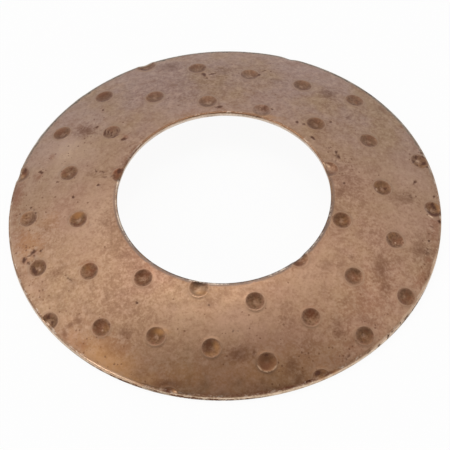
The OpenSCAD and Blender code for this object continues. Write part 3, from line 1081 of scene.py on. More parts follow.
        colour = self.lay(tree, linear(self.tan), open_films, masks)
        edge = (masks["tooth"], self.pocket_ragged, masks["from_pocket"])
        away = node(MATH, edge, operation="MULTIPLY_ADD")
        reach = self.pocket_film[-1][0]
        place = node(MATH, (away, reach), operation="DIVIDE")
        dried = self.banded(tree, place, tuple((mm / reach, *rest) for mm, *rest in self.pocket_film))
        thick = node(RANGE, {"Value": masks["luck"], "To Min": 0.72, "To Max": 1.05})
        thick = node(MATH, (thick, masks["kept"]), operation="MULTIPLY")
        share = (dried.outputs["Alpha"], thick)
        share = node(MATH, share, operation="MULTIPLY", use_clamp=True)
        colour = node(MIX, {"Factor": share, "A": colour, "B": dried}, data_type="RGBA")
        colour = self.lay(tree, colour, pocket_films, masks)
        matt = node(MATH, (masks["in_pocket"], masks["grime"]), operation="MAXIMUM")
        span = {"From Min": 0.3, "From Max": 0.7, "To Min": 0.34, "To Max": 0.46}
        polish = node(RANGE, {"Value": masks["mottle"]} | span)
        filmed = (masks["in_pocket"], self.film_metal, self.metal)
        metal = node(MATH, filmed, operation="MULTIPLY_ADD")
        dirtied = (masks["grime"], self.grime_metal, metal)
        metal = node(MATH, dirtied, operation="MULTIPLY_ADD", use_clamp=True)
        height = self.grain_h * MM
        bump = node("ShaderNodeBump", {"Height": masks["grain"], "Strength": 0.3, "Distance": height})
        shader = node(
            "ShaderNodeBsdfPrincipled",
            {
                "Base Color": colour,
                "Metallic": metal,
                "Roughness": node(MATH, (matt, self.matt, polish), operation="MULTIPLY_ADD"),
                "Specular IOR Level": 0.2,
                "Normal": bump,
                "Coat Weight": 0.06,
                "Coat Roughness": 0.42,
            },
        )
        node("ShaderNodeOutputMaterial", {"Surface": shader})
        return material


@dataclass(frozen=True)
class CutBronze(Bronze):
    """Tin bronze where a die cut it.

    The burnished land mirrors the floor softly. The metal tears in a dark, crumbly band where the punch
    broke through first, and oil browns the brow. On one side of the washer the brow carries a painted grey
    reflection of the die roll, and marks that reach it paint the near rim's dark reddish line and pale
    highlights.

    Args:
        bands: colours down the wall, each with the share of the way where it lies.
        torn: colour of the torn band's pits.
        brow: colour of the painted grey reflection on the die roll.
        brow_side: side of the washer that the painted reflection covers, "near_side" or "far_side".
        pit_mm: length along the wall and height of a streak or torn pit.
        crumble: how far the grain breaks the streaks.
    """

    bands: tuple[tuple[float, str], ...]
    torn: str
    brow: str
    brow_side: str
    pit_mm: tuple[float, float]
    crumble: float
    brown: str = "8A6C52"
    bright: str = "EAD8C4"
    soot: str = "46281A"
    # Golden where varnish marks reach the wall: burnt oil, and on the near-left rim the painted orange
    # highlight of the die roll
    varnish: str = "C09068"
    # Dark red where rust marks reach the die roll: oxide, and along the near rim's brow a painted dark
    # reflection
    rust: str = "6A3A26"
    # Pale where bare marks reach the die roll: rubbed metal, and on the near-left rim painted highlights
    rubbed: str = "D4B294"
    grain_mm: float = 0.35
    grain_h: float = 0.03
    # How far the bands wander down the wall
    wander: float = 0.35

    def material(self) -> bpy.types.Material:
        """Build the finish of one cut wall.

        Returns:
            The finished material.
        """
        material, in_mm = self.begin()
        tree = material.node_tree
        node = partial(add_node, tree)
        masks = self.worn(tree, in_mm)
        grain = node(NOISE, {"Vector": in_mm, "Scale": 1 / self.grain_mm, "Detail": 3.0})
        long, tall = self.pit_mm
        drawn = node("ShaderNodeMapping", {"Vector": in_mm, "Scale": (1 / long, 1 / long, 1 / tall)})
        pits = node(NOISE, {"Vector": drawn, "Scale": 1.0, "Detail": 2.0})
        masks["tooth"] = node(MATH, (grain, 0.5), operation="SUBTRACT")
        streak = node(MATH, (pits, 0.5), operation="SUBTRACT")
        down = node(ATTRIBUTE, attribute_name="wall").outputs["Fac"]
        torn = node(ATTRIBUTE, attribute_name="torn").outputs["Fac"]
        wandering = node(MATH, (streak, self.wander, down), operation="MULTIPLY_ADD")
        masks["pits"] = pits
        masks["torn"] = node(RANGE, {"Value": torn, "From Min": 0.34, "From Max": 0.46})
        masks["roll"] = node(RANGE, {"Value": down, "From Min": 0.32, "From Max": 0.24})
        films = (
            # Painted grey reflection of the die roll, on one side of the washer only
            Film(self.brow, "roll", 0.0, 1.0, 0.85, within=self.brow_side),
            Film(self.brown, "pits", 0.5, 0.66, 0.55, ragged=self.crumble),
            Film(self.bright, "pits", 0.48, 0.32, 0.45, ragged=self.crumble),
            # Where marks reach the wall; along the near rim's brow these paint its orange highlight, pale
            # highlights and dark reddish line
            Film(self.varnish, "varnish", 0.3, 0.8, 0.7, ragged=0.3),
            Film(self.rubbed, "bare", 0.2, 0.7, 0.8, ragged=0.5, within="roll"),
            Film(self.rust, "rust", 0.3, 0.8, 0.9, ragged=0.5, within="roll"),
            Film(self.torn, "pits", 0.44, 0.5, 0.95, ragged=self.crumble, within="torn"),
            Film(self.soot, "grime", 0.28, 0.7, 0.85, ragged=1.5),
        )
        bands = tuple((*band, 1.0) for band in self.bands)
        colour = self.lay(tree, self.banded(tree, wandering, bands), films, masks)
        oxide = node(MATH, (masks["rust"], masks["roll"]), operation="MULTIPLY")
        dirt = node(MATH, (masks["torn"], masks["grime"]), operation="MAXIMUM")
        dirt = node(MATH, (dirt, oxide), operation="MAXIMUM")
        metal = node(RANGE, {"Value": dirt, "To Min": 0.92, "To Max": 0.05})
        rough = node(RANGE, {"Value": dirt, "To Min": 0.32, "To Max": 0.8})
        bump = node("ShaderNodeBump", {"Height": grain, "Strength": 0.3, "Distance": self.grain_h * MM})
        shader = node(
            "ShaderNodeBsdfPrincipled",
            {
                "Base Color": colour,
                "Metallic": metal,
                "Roughness": rough,
                "Specular IOR Level": 0.05,
                "Normal": bump,
            },
        )
        node("ShaderNodeOutputMaterial", {"Surface": shader})
        return material


RIM_FINISH = CutBronze(
    "sheared_tin_bronze",
    (
        (0.0, "A07A60"),
        (0.14, "AC866A"),
        (0.27, "9A745C"),
        (0.34, "C8A88C"),
        (0.5, "DCC2A6"),
        (0.75, "CDB294"),
        (1.0, "C8B298"),
    ),
    torn="744630",
    # Painted grey reflection of the die roll, on the far side
    brow="887E70",
    brow_side="far_side",
    pit_mm=(1.3, 0.3),
    crumble=0.8,
)
BORE_FINISH = CutBronze(
    "pierced_tin_bronze",
    (
        (0.0, "8C6A54"),
        (0.1, "80604A"),
        (0.19, "9A7258"),
        (0.29, "AC8464"),
        (0.34, "64442E"),
        (0.41, "CDB49E"),
        (0.7, "DCCBBB"),
        (1.0, "E6DCD2"),
    ),
    torn="A0826A",
    # Painted grey-mauve reflection of the die roll, on the near side
    brow="605450",
    brow_side="near_side",
    pit_mm=(3.0, 0.2),
    crumble=0.5,
)


@dataclass
class Washer:
    """The washer: a formed ring of bronze sheet with pressed pockets.

    Args:
        outer_r: radius of the rim, in mm.
        bore_r: radius of the bore, in mm.
        top: height of the solid, which nothing rises above, in mm.
        view: the photograph's camera, which places the marks.
    """

    outer_r: float
    bore_r: float
    top: float
    view: View
    sheet_t: float = 1.0
    seat_r: float = 88.0
    grid: PocketGrid = field(default_factory=PocketGrid)
    # Raised lip round a pocket, and the dimple that a pocket leaves on the face behind it
    lip_h: float = 0.03
    lip_w: float = 0.2
    dimple_h: float = 0.012
    dimple_w: float = 1.25
    # How softly the mouths are worn, and the height and length of the sheet's waves
    mouth_blend: float = 0.08
    wave_h: float = 0.03
    wave_mm: float = 9.0
    # How far outside a cut a pocket's middle may lie and still be pressed, as a share of its mouth
    overhang: float = 0.5
    # Bend between two facets above which the edge between them stays sharp
    crease: float = math.radians(38)
    # Share of the thickness, from the concave face, over which the marks fade out
    under_fade: float = 0.4
    # Points round the rim and the bore, and spacing of the open points on the convex and concave faces
    rim_steps: int = 900
    bore_steps: int = 540
    face_spacing: float = 0.5
    hollow_spacing: float = 0.75
    # Half width under which a mark gets points of its own, in spacings
    fine_mark: float = 1.6
    seed: int = 7

    @property
    def hollow_r(self) -> float:
        """Radius of the concave face."""
        return self.seat_r - self.sheet_t

    @property
    def rim_wall(self) -> CutWall:
        """The cut wall of the rim."""
        return CutWall(self.outer_r, -1, self.rim_steps, self.seed)

    @property
    def bore_wall(self) -> CutWall:
        """The cut wall of the bore."""
        return CutWall(self.bore_r, 1, self.bore_steps, self.seed + 1)

    @property
    def centre_depth(self) -> float:
        """Depth of the sphere's centre below the circle that the rim stands on."""
        return math.sqrt(self.hollow_r**2 - (self.outer_r - self.rim_wall.tear_in) ** 2)

    def flat_radius(self, from_axis: float) -> float:
        """Return where a distance from the axis lies on the flat blank."""
        return 2 * self.seat_r * math.tan(math.asin(from_axis / self.seat_r) / 2)

    def flatten(self, section: np.ndarray) -> tuple[np.ndarray, np.ndarray]:
        """Unroll points of the formed section on to the flat blank.

        Args:
            section: rows of distance from the axis and height over the sphere's centre.

        Returns:
            The points' distance from the middle of the blank, and their height on it.
        """
        lean = np.arctan2(section[:, 0], section[:, 1])
        return 2 * self.seat_r * np.tan(lean / 2), np.hypot(*section.T) - self.seat_r

    def flat_mouth(self, places: np.ndarray) -> np.ndarray:
        """Return the radius on the flat blank of a pocket's mouth at each place."""
        return self.grid.mouth_r * (1 + (np.hypot(*places.T) / (2 * self.seat_r)) ** 2)

    def mark_place(self, pixel: tuple[float, float]) -> np.ndarray:
        """Find where a pixel of the photograph meets the convex face.

        Args:
            pixel: how far it lies from the picture's left side and from its top.

        Returns:
            Its x and y on the flat blank.
        """
        centre = Vector((0.0, 0.0, -self.centre_depth))
        eye, ray = self.view.eye(), self.view.ray(pixel)
        along = (centre - eye).dot(ray)
        short = self.seat_r**2 - (eye + ray * along - centre).length_squared
        point = eye + ray * (along - math.sqrt(short)) - centre
        radius, _ = self.flatten(np.array([[point.xy.length, point.z]]))
        return np.array(point.xy) * (radius[0] / point.xy.length)

    def wall_points(self, wall: CutWall) -> list[np.ndarray]:
        """Lay a cut wall's rows on the flat blank.

        Args:
            wall: the bore's or the rim's wall.

        Returns:
            For each row an array of x, y, height, share of the way down and how torn it is.
        """
        phi = wall.angles()
        laid = []
        for row in wall.rows(self.seat_r, self.hollow_r):
            radius, height = self.flatten(row.section)
            down = np.full(wall.steps, row.down)
            x, y = radius * np.cos(phi), radius * np.sin(phi)
            laid.append(np.column_stack([x, y, height, down, row.torn]))
        return laid

    def wear_fields(self, points: np.ndarray) -> dict[str, np.ndarray]:
        """Spread the marks over the points of the convex face.

        Args:
            points: flat x and y of each point.

        Returns:
            For each kind of wear and for the dents, one value a point.
        """
        fields = {wear.value: np.zeros(len(points)) for wear in Wear}
        fields["dent"] = np.zeros(len(points))
        for mark in MARKS:
            centre = self.mark_place(mark.at)
            slant = math.radians(mark.slant)
            step = (mark.at[0] + math.cos(slant), mark.at[1] - math.sin(slant))
            along = self.mark_place(step) - centre
            along /= np.hypot(*along)
            away = points - centre
            lengthwise = away @ along / (mark.size * mark.length)
            across = (away[:, 1] * along[0] - away[:, 0] * along[1]) / mark.size
            blot = np.exp(-(lengthwise**2 + across**2))
            fields[mark.wear.value] = np.maximum(fields[mark.wear.value], blot * mark.strength)
            fields["dent"] = np.maximum(fields["dent"], blot * mark.dent)
        return fields

    def blank(self) -> bpy.types.Object:
        """Make the flat blank, with its wear carried as attributes.

        Returns:
            The blank, in the scene and still in mm.
        """
        bore_rows, rim_rows = self.wall_points(self.bore_wall), self.wall_points(self.rim_wall)
        marks = np.array([self.mark_place(mark.at) for mark in MARKS])
        sizes = np.array([mark.size for mark in MARKS])
        small = sizes < self.face_spacing * self.fine_mark
        none = np.zeros((0, 2))
        sheets = []
        for row, slip, spacing, spots, radii in (
            (0, 0.0, self.face_spacing, marks[small], sizes[small]),
            (-1, self.grid.under_slip, self.hollow_spacing, none, np.zeros(0)),
        ):
            sheet = Sheet(bore_rows[row][:, :2], rim_rows[row][:, :2], spacing)
            places = self.grid.places(slip)
            inner = sheet.points(places, self.flat_mouth(places), spots, radii)
            flat, triangles = sheet.triangles(inner)
            edges = np.vstack([bore_rows[row], rim_rows[row]])
            carried = np.zeros((len(flat), 5))
            carried[:, :2] = flat
            carried[: len(edges), 2:] = edges[:, 2:]
            carried[len(edges) :, 2] = edges[0, 2]
            sheets.append((carried, triangles))
        (top, top_faces), (under, under_faces) = sheets
        points = [top, under]
        faces = [top_faces.tolist(), (under_faces[:, ::-1] + len(top)).tolist()]
        count = len(top) + len(under)
        walls = []
        for rows, start, inward in ((bore_rows, 0, 1), (rim_rows, self.bore_steps, -1)):
            steps = len(rows[0])
            rings = [np.arange(steps) + start]
            for row in rows[1:-1]:
                rings.append(np.arange(steps) + count)
                points.append(row)
                count += steps
            rings.append(np.arange(steps) + start + len(top))
            quads = [
                np.column_stack([upper, np.roll(upper, -1), np.roll(lower, -1), lower])[:, ::inward]
                for upper, lower in zip(rings, rings[1:])
            ]
            walls.append(np.vstack(quads).tolist())
        table = np.vstack(points)
        mesh = bpy.data.meshes.new("blank")
        mesh.from_pydata(table[:, :3].tolist(), [], [face for part in faces + walls for face in part])
        first = len(faces[0]) + len(faces[1])
        for name, wall in zip(("bore_cut", "rim_cut"), walls):
            cut = np.zeros(len(mesh.polygons), bool)
            cut[first : first + len(wall)] = True
            mesh.attributes.new(name, "BOOLEAN", "FACE").data.foreach_set("value", cut)
            first += len(wall)
        on_top = np.clip((1 + table[:, 2] / self.sheet_t) / self.under_fade, 0, 1)
        fields = {name: values * on_top for name, values in self.wear_fields(table[:, :2]).items()}
        out = np.hypot(table[:, 0], table[:, 1])
        fields |= {
            "wall": table[:, 3],
            "torn": table[:, 4],
            "from_rim": out[self.bore_steps] - out,
            "from_bore": out - out[0],
        }
        for name, values in fields.items():
            mesh.attributes.new(name, "FLOAT", "POINT").data.foreach_set("value", values.astype(np.float32))
        piece = bpy.data.objects.new("bronze_washer", mesh)
        bpy.context.scene.collection.objects.link(piece)
        return piece

    def press(
        self, tree: bpy.types.NodeTree, given: bpy.types.NodeOutputs, on_flat: bpy.types.Node, slip: object
    ) -> tuple[bpy.types.Node, bpy.types.Node, bpy.types.NodeSocket]:
        """Press one face's grid of pockets.

        Args:
            tree: the tree that the nodes join.
            given: outputs of the tree's group input.
            on_flat: place of each point on the flat blank.
            slip: how far the grid is moved along its rows, in pitches.

        Returns:
            How deep each point goes, how far it lies from the nearest pocket's middle, and that middle.
        """
        node = partial(add_node, tree)
        span = 2 * self.grid.reach
        lattice = node(
            "GeometryNodeMeshGrid",
            {
                "Size X": node(MATH, (given["Pitch"], float(span)), operation="MULTIPLY"),
                "Size Y": node(MATH, (given["Row Pitch"], float(span)), operation="MULTIPLY"),
                "Vertices X": span + 1,
                "Vertices Y": span + 1,
            },
        )
        square = node("ShaderNodeSeparateXYZ", (node("GeometryNodeInputPosition"),)).outputs
        row = node(MATH, (square["Y"], given["Row Pitch"]), operation="DIVIDE")
        slid = node(MATH, (row, given["Row Slip"], square["X"]), operation="MULTIPLY_ADD")
        moved = node(MATH, (given["Pitch"], slip, slid), operation="MULTIPLY_ADD")
        slanted = node("ShaderNodeCombineXYZ", {"X": moved, "Y": square["Y"]})
        turn = {"Vector": slanted, "Angle": given["Grid Turn"]}
        turned = node("ShaderNodeVectorRotate", turn, rotation_type="Z_AXIS")
        offset = node("ShaderNodeCombineXYZ", {"X": given["Grid X"], "Y": given["Grid Y"]})
        centre = node(VECTOR, (turned, offset), operation="ADD")
        laid = node("GeometryNodeSetPosition", {"Geometry": lattice, "Position": centre})
        out = node(VECTOR, (node("GeometryNodeInputPosition"),), operation="LENGTH")
        on_ring = node(MATH, (out, given["Ring Middle"], given["Ring Half Width"]), operation="COMPARE")
        off_ring = node(MATH, (1.0, on_ring), operation="SUBTRACT")
        kept = node("GeometryNodeDeleteGeometry", {"Geometry": laid, "Selection": off_ring}, domain="POINT")
        near = node(
            "GeometryNodeProximity", {"Geometry": kept, "Sample Position": on_flat}, target_element="POINTS"
        ).outputs
        half = node(VECTOR, (on_flat, given["Half Turn"]), operation="SCALE")
        stretch = node(VECTOR, (half, half), operation="DOT_PRODUCT")
        stretch = node(MATH, (stretch, 1.0), operation="ADD")
        away = node(MATH, (near["Distance"], stretch), operation="DIVIDE")
        chord = node(MATH, (away, away), operation="MULTIPLY")
        left = node(MATH, (given["Ball Square"], chord), operation="SUBTRACT")
        left = node(MATH, (left, 0.0), operation="MAXIMUM")
        cap = node(MATH, (left,), operation="SQRT")
        cap = node(MATH, (cap, given["Ball Lift"]), operation="SUBTRACT")
        sunk = node(MATH, (cap, 0.0, given["Mouth Blend"]), operation="SMOOTH_MAX")
        return sunk, away, near["Position"]

    def bell(
        self, tree: bpy.types.NodeTree, distance: object, width: object, height: object
    ) -> bpy.types.Node:
        """Swell to a height where a distance is nought, and fade over a width.

        Args:
            tree: the tree that the nodes join.
            distance: distance from where it is highest.
            width: distance at which it has fallen to 1/e.
            height: how high it swells.

        Returns:
            The node that gives the swelling.
        """
        node = partial(add_node, tree)
        share = node(MATH, (distance, width), operation="DIVIDE")
        fall = node(MATH, (share, share), operation="MULTIPLY")
        fall = node(MATH, (1 / math.e, fall), operation="POWER")
        return node(MATH, (fall, height), operation="MULTIPLY")

    def press_tree(self) -> bpy.types.NodeTree:
        """Build the tree that presses the pockets and forms the blank to a sphere.

        Returns:
            The tree, with an input for each size and each finish.
        """
        tree = bpy.data.node_groups.new("press_and_form", "GeometryNodeTree")
        tree.interface.new_socket("Geometry", in_out="OUTPUT", socket_type="NodeSocketGeometry")
        tree.interface.new_socket("Geometry", in_out="INPUT", socket_type="NodeSocketGeometry")
        for name in self.sizes():
            tree.interface.new_socket(name, in_out="INPUT", socket_type="NodeSocketFloat")
        for name in ("Face Finish", "Bore Finish", "Rim Finish"):
            tree.interface.new_socket(name, in_out="INPUT", socket_type="NodeSocketMaterial")
        node = partial(add_node, tree)
        given = node("NodeGroupInput").outputs
        place = node("ShaderNodeSeparateXYZ", (node("GeometryNodeInputPosition"),)).outputs
        on_flat = node("ShaderNodeCombineXYZ", {"X": place["X"], "Y": place["Y"]})
        lower = node(MATH, (place["Z"], given["Sheet Thickness"]), operation="DIVIDE")
        lower = node(MATH, (lower, -1.0), operation="MULTIPLY", use_clamp=True)
        upper = node(MATH, (1.0, lower), operation="SUBTRACT")
        over_deep, over_away, over_place = self.press(tree, given, on_flat, 0.0)
        under_deep, under_away, under_place = self.press(tree, given, on_flat, given["Under Slip"])

        # Lips round the mouths, and ghosts of the other face's pockets
        sunk = []
        for deep, away in ((over_deep, over_away), (under_deep, under_away)):
            outside = node(MATH, (away, given["Lip Radius"]), operation="SUBTRACT")
            lip = self.bell(tree, outside, given["Lip Width"], given["Lip Height"])
            sunk.append(node(MATH, (deep, lip), operation="SUBTRACT"))
        chance = node(
            "ShaderNodeTexWhiteNoise", {"Vector": under_place, "W": given["Seed"]}, noise_dimensions="4D"
        )
        ghost = self.bell(tree, under_away, given["Dimple Width"], chance)
        dent = node("GeometryNodeInputNamedAttribute", {"Name": "dent"}, data_type="FLOAT")
        dimpled = node(MATH, (ghost, given["Dimple Height"], sunk[0]), operation="MULTIPLY_ADD")
        sunk_over = node(MATH, (dimpled, dent), operation="ADD")

        # The formed sheet: each point moves out from the sphere's centre by its own height on the blank
        wave = node(
            NOISE,
            {"Vector": on_flat, "W": given["Seed"], "Scale": given["Waves"], "Detail": 1.0},
            noise_dimensions="4D",
        )
        sway = node(MATH, (wave, 0.5), operation="SUBTRACT")
        sway = node(MATH, (sway, given["Wave Height"], place["Z"]), operation="MULTIPLY_ADD")
        raised = node(MATH, (sunk[1], lower, sway), operation="MULTIPLY_ADD")
        pressed = node(MATH, (sunk_over, upper), operation="MULTIPLY")
        raised = node(MATH, (raised, pressed), operation="SUBTRACT")
        radius = node(MATH, (raised, given["Seat Radius"]), operation="ADD")
        half = node(VECTOR, (on_flat, given["Half Turn"]), operation="SCALE")
        square = node(VECTOR, (half, half), operation="DOT_PRODUCT")
        rise = node(MATH, (1.0, square), operation="SUBTRACT")
        half_up = node("ShaderNodeCombineXYZ", {"Z": node(MATH, (rise, 2.0), operation="DIVIDE")})
        outward = node(VECTOR, (half, half_up), operation="ADD")
        outward = node(VECTOR, (outward,), operation="NORMALIZE")
        formed = node(VECTOR, (outward, radius), operation="SCALE")

        # Nothing leaves the room of the solid
        formed = node("ShaderNodeSeparateXYZ", (formed,)).outputs
        plan = node("ShaderNodeCombineXYZ", {"X": formed["X"], "Y": formed["Y"]})
        reach = node(VECTOR, (plan,), operation="LENGTH")
        held = node(MATH, (reach, given["Outer Radius"]), operation="MINIMUM")
        held = node(MATH, (held, given["Bore Radius"]), operation="MAXIMUM")
        plan = node(VECTOR, (plan,), operation="NORMALIZE")
        plan = node(VECTOR, (plan, held), operation="SCALE")
        height = node(MATH, (formed["Z"], given["Centre Depth"]), operation="SUBTRACT")
        height = node(MATH, (height, 0.0), operation="MAXIMUM")
        height = node(MATH, (height, given["Top Height"]), operation="MINIMUM")
        plan = node(VECTOR, (plan, node("ShaderNodeCombineXYZ", {"Z": height})), operation="ADD")
        in_metres = node(VECTOR, (plan, MM), operation="SCALE")

        # What the finishes read
        nearest = node(MIX, {"Factor": lower, "A": over_place, "B": under_place}, data_type="VECTOR")
        draw = {"Vector": nearest, "W": given["Seed"]}
        luck = node("ShaderNodeTexWhiteNoise", draw, noise_dimensions="4D")
        away = node(MIX, {"Factor": lower, "A": over_away, "B": under_away})
        ghost = node(MATH, (ghost, upper), operation="MULTIPLY")
        geometry = given["Geometry"]
        for name, value in (("from_pocket", away), ("ghost", ghost), ("luck", luck)):
            kept = {"Geometry": geometry, "Name": name, "Value": value}
            geometry = node("GeometryNodeStoreNamedAttribute", kept, domain="POINT")
        geometry = node("GeometryNodeSetPosition", {"Geometry": geometry, "Position": in_metres})
        geometry = node("GeometryNodeSetShadeSmooth", {"Geometry": geometry, "Shade Smooth": True})
        bend = node("GeometryNodeInputMeshEdgeAngle")
        gentle = node(MATH, (bend, given["Crease"]), operation="LESS_THAN")
        geometry = node(
            "GeometryNodeSetShadeSmooth", {"Geometry": geometry, "Shade Smooth": gentle}, domain="EDGE"
        )
        geometry = node("GeometryNodeRealizeInstances", {"Geometry": geometry})
        geometry = node("GeometryNodeSetMaterial", {"Geometry": geometry, "Material": given["Face Finish"]})
        for name, finish in (("bore_cut", "Bore Finish"), ("rim_cut", "Rim Finish")):
            cut = node("GeometryNodeInputNamedAttribute", {"Name": name}, data_type="BOOLEAN")
            dressed = {"Geometry": geometry, "Selection": cut, "Material": given[finish]}
            geometry = node("GeometryNodeSetMaterial", dressed)
        node("NodeGroupOutput", {"Geometry": geometry})
        return tree

    def sizes(self) -> dict[str, float]:
        """Gather the tree's sizes.

        Returns:
            Each size by the name of its input.
        """
        overhang = self.grid.mouth_r * self.overhang
        inner, outer = (self.flat_radius(r) for r in (self.bore_r - overhang, self.outer_r + overhang))
        return {
            "Pitch": self.grid.pitch,
            "Row Pitch": self.grid.row_pitch,
            "Row Slip": self.grid.row_slip,
            "Grid Turn": self.grid.turn,
            "Grid X": self.grid.offset[0],
            "Grid Y": self.grid.offset[1],
            "Under Slip": self.grid.under_slip,
            "Ring Middle": (inner + outer) / 2,
            "Ring Half Width": (outer - inner) / 2,
            "Mouth Blend": self.mouth_blend,
            "Ball Square": self.grid.ball_r**2,
            "Ball Lift": self.grid.ball_r - self.grid.depth,
            "Lip Radius": self.grid.mouth_r + self.lip_w,
            "Lip Height": self.lip_h,
            "Lip Width": self.lip_w,
            "Dimple Height": self.dimple_h,
            "Dimple Width": self.dimple_w,
            "Wave Height": self.wave_h,
            "Waves": 1 / self.wave_mm,
            "Outer Radius": self.outer_r - INSET,
            "Bore Radius": self.bore_r,
            "Top Height": self.top,
            "Seat Radius": self.seat_r,
            "Half Turn": 0.5 / self.seat_r,
            "Sheet Thickness": self.sheet_t,
            "Centre Depth": self.centre_depth,
            "Crease": self.crease,
            "Seed": float(self.seed),
        }

    def build(self) -> bpy.types.Object:
        """Press, form and dress the washer.

        Returns:
            The finished piece, a plain mesh.
        """
        piece = self.blank()
        modifier = piece.modifiers.new("press_and_form", "NODES")
        modifier.node_group = self.press_tree()
        finishes = {
            "Face Finish": FaceBronze("worn_tin_bronze").material(),
            "Bore Finish": BORE_FINISH.material(),
            "Rim Finish": RIM_FINISH.material(),
        }
        wanted = self.sizes() | finishes
        for item in modifier.node_group.interface.items_tree:
            if item.in_out == "INPUT" and item.name in wanted:
                modifier[item.identifier] = wanted[item.name]
        graph = bpy.context.evaluated_depsgraph_get()
        formed = bpy.data.meshes.new_from_object(
            piece.evaluated_get(graph), preserve_all_data_layers=True, depsgraph=graph
        )
        piece.modifiers.remove(modifier)
        piece.data = formed
        formed.name = piece.name
        return piece


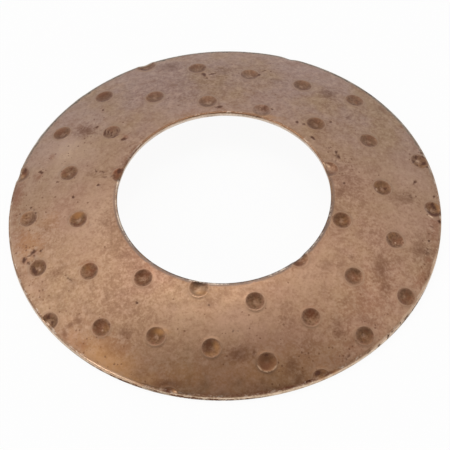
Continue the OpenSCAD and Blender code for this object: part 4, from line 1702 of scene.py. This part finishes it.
@dataclass
class Studio:
    """Pale floor, a bright tent dark on the camera's side, soft lamps and the photograph's camera."""

    view: View
    floor_m: float = 3.0
    floor_white: str = "F4F4F4"
    # How much of the floor's look is plain white, which leaves the object a light shadow
    floor_glow: float = 0.94
    # Strength of the tent, and of its dark side towards the camera
    tent: float = 0.9
    dark_side: float = 0.08
    # Middle of the dark side, and the angles from it between which the tent brightens
    dark_middle: tuple[float, float, float] = (0.0, -0.59, 0.8)
    dark_to: float = math.radians(28)
    bright_from: float = math.radians(48)
    # Tint of the tent low down and overhead, the heights between which it changes, and its dark side's tint
    low_down: str = "E4F0FF"
    overhead: str = "FFFAF2"
    tint_from: float = 0.1
    tint_to: float = 0.95
    dark_tint: str = "FFD8B4"
    # What the camera sees behind the floor, and how far it sees
    backdrop: str = "FFFFFF"
    sight_m: float = 10.0

    def floor(self) -> bpy.types.Object:
        """Lay the floor under the rim.

        Returns:
            The floor, in its own white paper.
        """
        half = self.floor_m / 2
        mesh = bpy.data.meshes.new("floor")
        corners = [(-half, -half, 0), (half, -half, 0), (half, half, 0), (-half, half, 0)]
        mesh.from_pydata(corners, [], [(0, 1, 2, 3)])
        floor = bpy.data.objects.new("floor", mesh)
        bpy.context.scene.collection.objects.link(floor)
        mesh.materials.append(self.floor_material())
        return floor

    def floor_material(self) -> bpy.types.Material:
        """Build white paper, which the camera and reflections see brighter than it is.

        Returns:
            The finished material.
        """
        material = bpy.data.materials.new("white_paper")
        material.use_nodes = True
        tree = material.node_tree
        tree.nodes.clear()
        node = partial(add_node, tree)
        paper = node("ShaderNodeBsdfDiffuse", {"Color": linear(self.floor_white)})
        glow = node("ShaderNodeEmission", {"Strength": 1.0})
        ray = node("ShaderNodeLightPath").outputs
        seen = node(MATH, (ray["Is Camera Ray"], ray["Is Glossy Ray"]), operation="MAXIMUM")
        seen = node(MATH, (seen, ray["Is Transmission Ray"]), operation="MAXIMUM")
        share = node(MATH, (seen, self.floor_glow), operation="MULTIPLY")
        mix = node("ShaderNodeMixShader", (share, paper, glow))
        node("ShaderNodeOutputMaterial", {"Surface": mix})
        return material

    def world(self) -> None:
        """Fill the room with the tent's light and show it white to the camera."""
        world = bpy.data.worlds.new("studio")
        bpy.context.scene.world = world
        world.use_nodes = True
        tree = world.node_tree
        tree.nodes.clear()
        node = partial(add_node, tree)
        towards = node("ShaderNodeTexCoord").outputs["Generated"]
        middle = tuple(Vector(self.dark_middle).normalized())
        facing = node(VECTOR, (towards, middle), operation="DOT_PRODUCT")
        height = node("ShaderNodeSeparateXYZ", (towards,)).outputs["Z"]
        rise = node(RANGE, {"Value": height, "From Min": self.tint_from, "From Max": self.tint_to})
        low, high = linear(self.low_down), linear(self.overhead)
        tint = node(MIX, {"Factor": rise, "A": low, "B": high}, data_type="RGBA")
        span = {"From Min": math.cos(self.bright_from), "From Max": math.cos(self.dark_to)}
        dark = node(RANGE, {"Value": facing} | span, interpolation_type="SMOOTHSTEP")
        shade = linear(self.dark_tint)
        tint = node(MIX, {"Factor": dark, "A": tint, "B": shade}, data_type="RGBA")
        strength = node(RANGE, {"Value": dark, "To Min": self.tent, "To Max": self.dark_side})
        tent = node("ShaderNodeBackground", {"Color": tint, "Strength": strength})
        white = node("ShaderNodeBackground", {"Color": linear(self.backdrop), "Strength": 1.0})
        ray = node("ShaderNodeLightPath").outputs
        mix = node("ShaderNodeMixShader", (ray["Is Camera Ray"], tent, white))
        node("ShaderNodeOutputWorld", {"Surface": mix})

    def lamp(self, name: str, at: tuple[float, float, float], size: float, power: float) -> None:
        """Hang a soft square lamp that faces the washer.

        Args:
            name: what the lamp is called.
            at: its place, in metres.
            size: its side, in metres.
            power: its power, in watts.
        """
        light = bpy.data.lights.new(name, "AREA")
        light.size = size
        light.energy = power
        lamp = bpy.data.objects.new(name, light)
        lamp.location = at
        lamp.rotation_euler = (-Vector(at)).to_track_quat("-Z", "Y").to_euler()
        bpy.context.scene.collection.objects.link(lamp)

    def camera(self) -> None:
        """Place the photograph's camera."""
        lens = bpy.data.cameras.new("camera")
        lens.lens = self.view.focal
        lens.sensor_width = self.view.sensor
        lens.clip_end = self.sight_m
        camera = bpy.data.objects.new("camera", lens)
        right, up, back = self.view.axes()
        turn = Matrix((right, up, back)).transposed().to_4x4()
        camera.matrix_world = Matrix.Translation(self.view.eye() * MM) @ turn
        bpy.context.scene.collection.objects.link(camera)
        bpy.context.scene.camera = camera

    def build(self) -> None:
        """Set up the whole studio."""
        self.camera()
        self.world()
        self.lamp("key", at=(-0.06, 0.33, 0.9), size=0.34, power=1.3)
        self.lamp("side", at=(-0.62, 0.2, 0.72), size=0.5, power=0.7)
        self.lamp("fill", at=(0.5, 0.2, 0.84), size=0.5, power=0.3)
        self.lamp("edge", at=(-0.62, -0.42, 0.34), size=0.16, power=0.8)
        self.floor()
        bpy.context.scene.view_settings.view_transform = "Standard"


def main() -> None:
    """Build the washer and its studio, and log how many triangles the washer has."""
    low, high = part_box("washer")
    bore = next(mount for mount in frame["record"]["mounts"] if mount["name"] == "bore")
    view = View()
    outer_r = (high.x - low.x) / 2 / MM
    piece = Washer(outer_r, bore["dims"]["r_mm"], top=high.z / MM - INSET, view=view).build()
    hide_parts("washer")
    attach(piece, "root")
    LOG.info("%s: %d triangles", piece.name, sum(len(face.vertices) - 2 for face in piece.data.polygons))
    Studio(view).build()


if __name__ == "__main__":
    logging.basicConfig(level=logging.INFO, format="%(name)s: %(message)s")
    main()
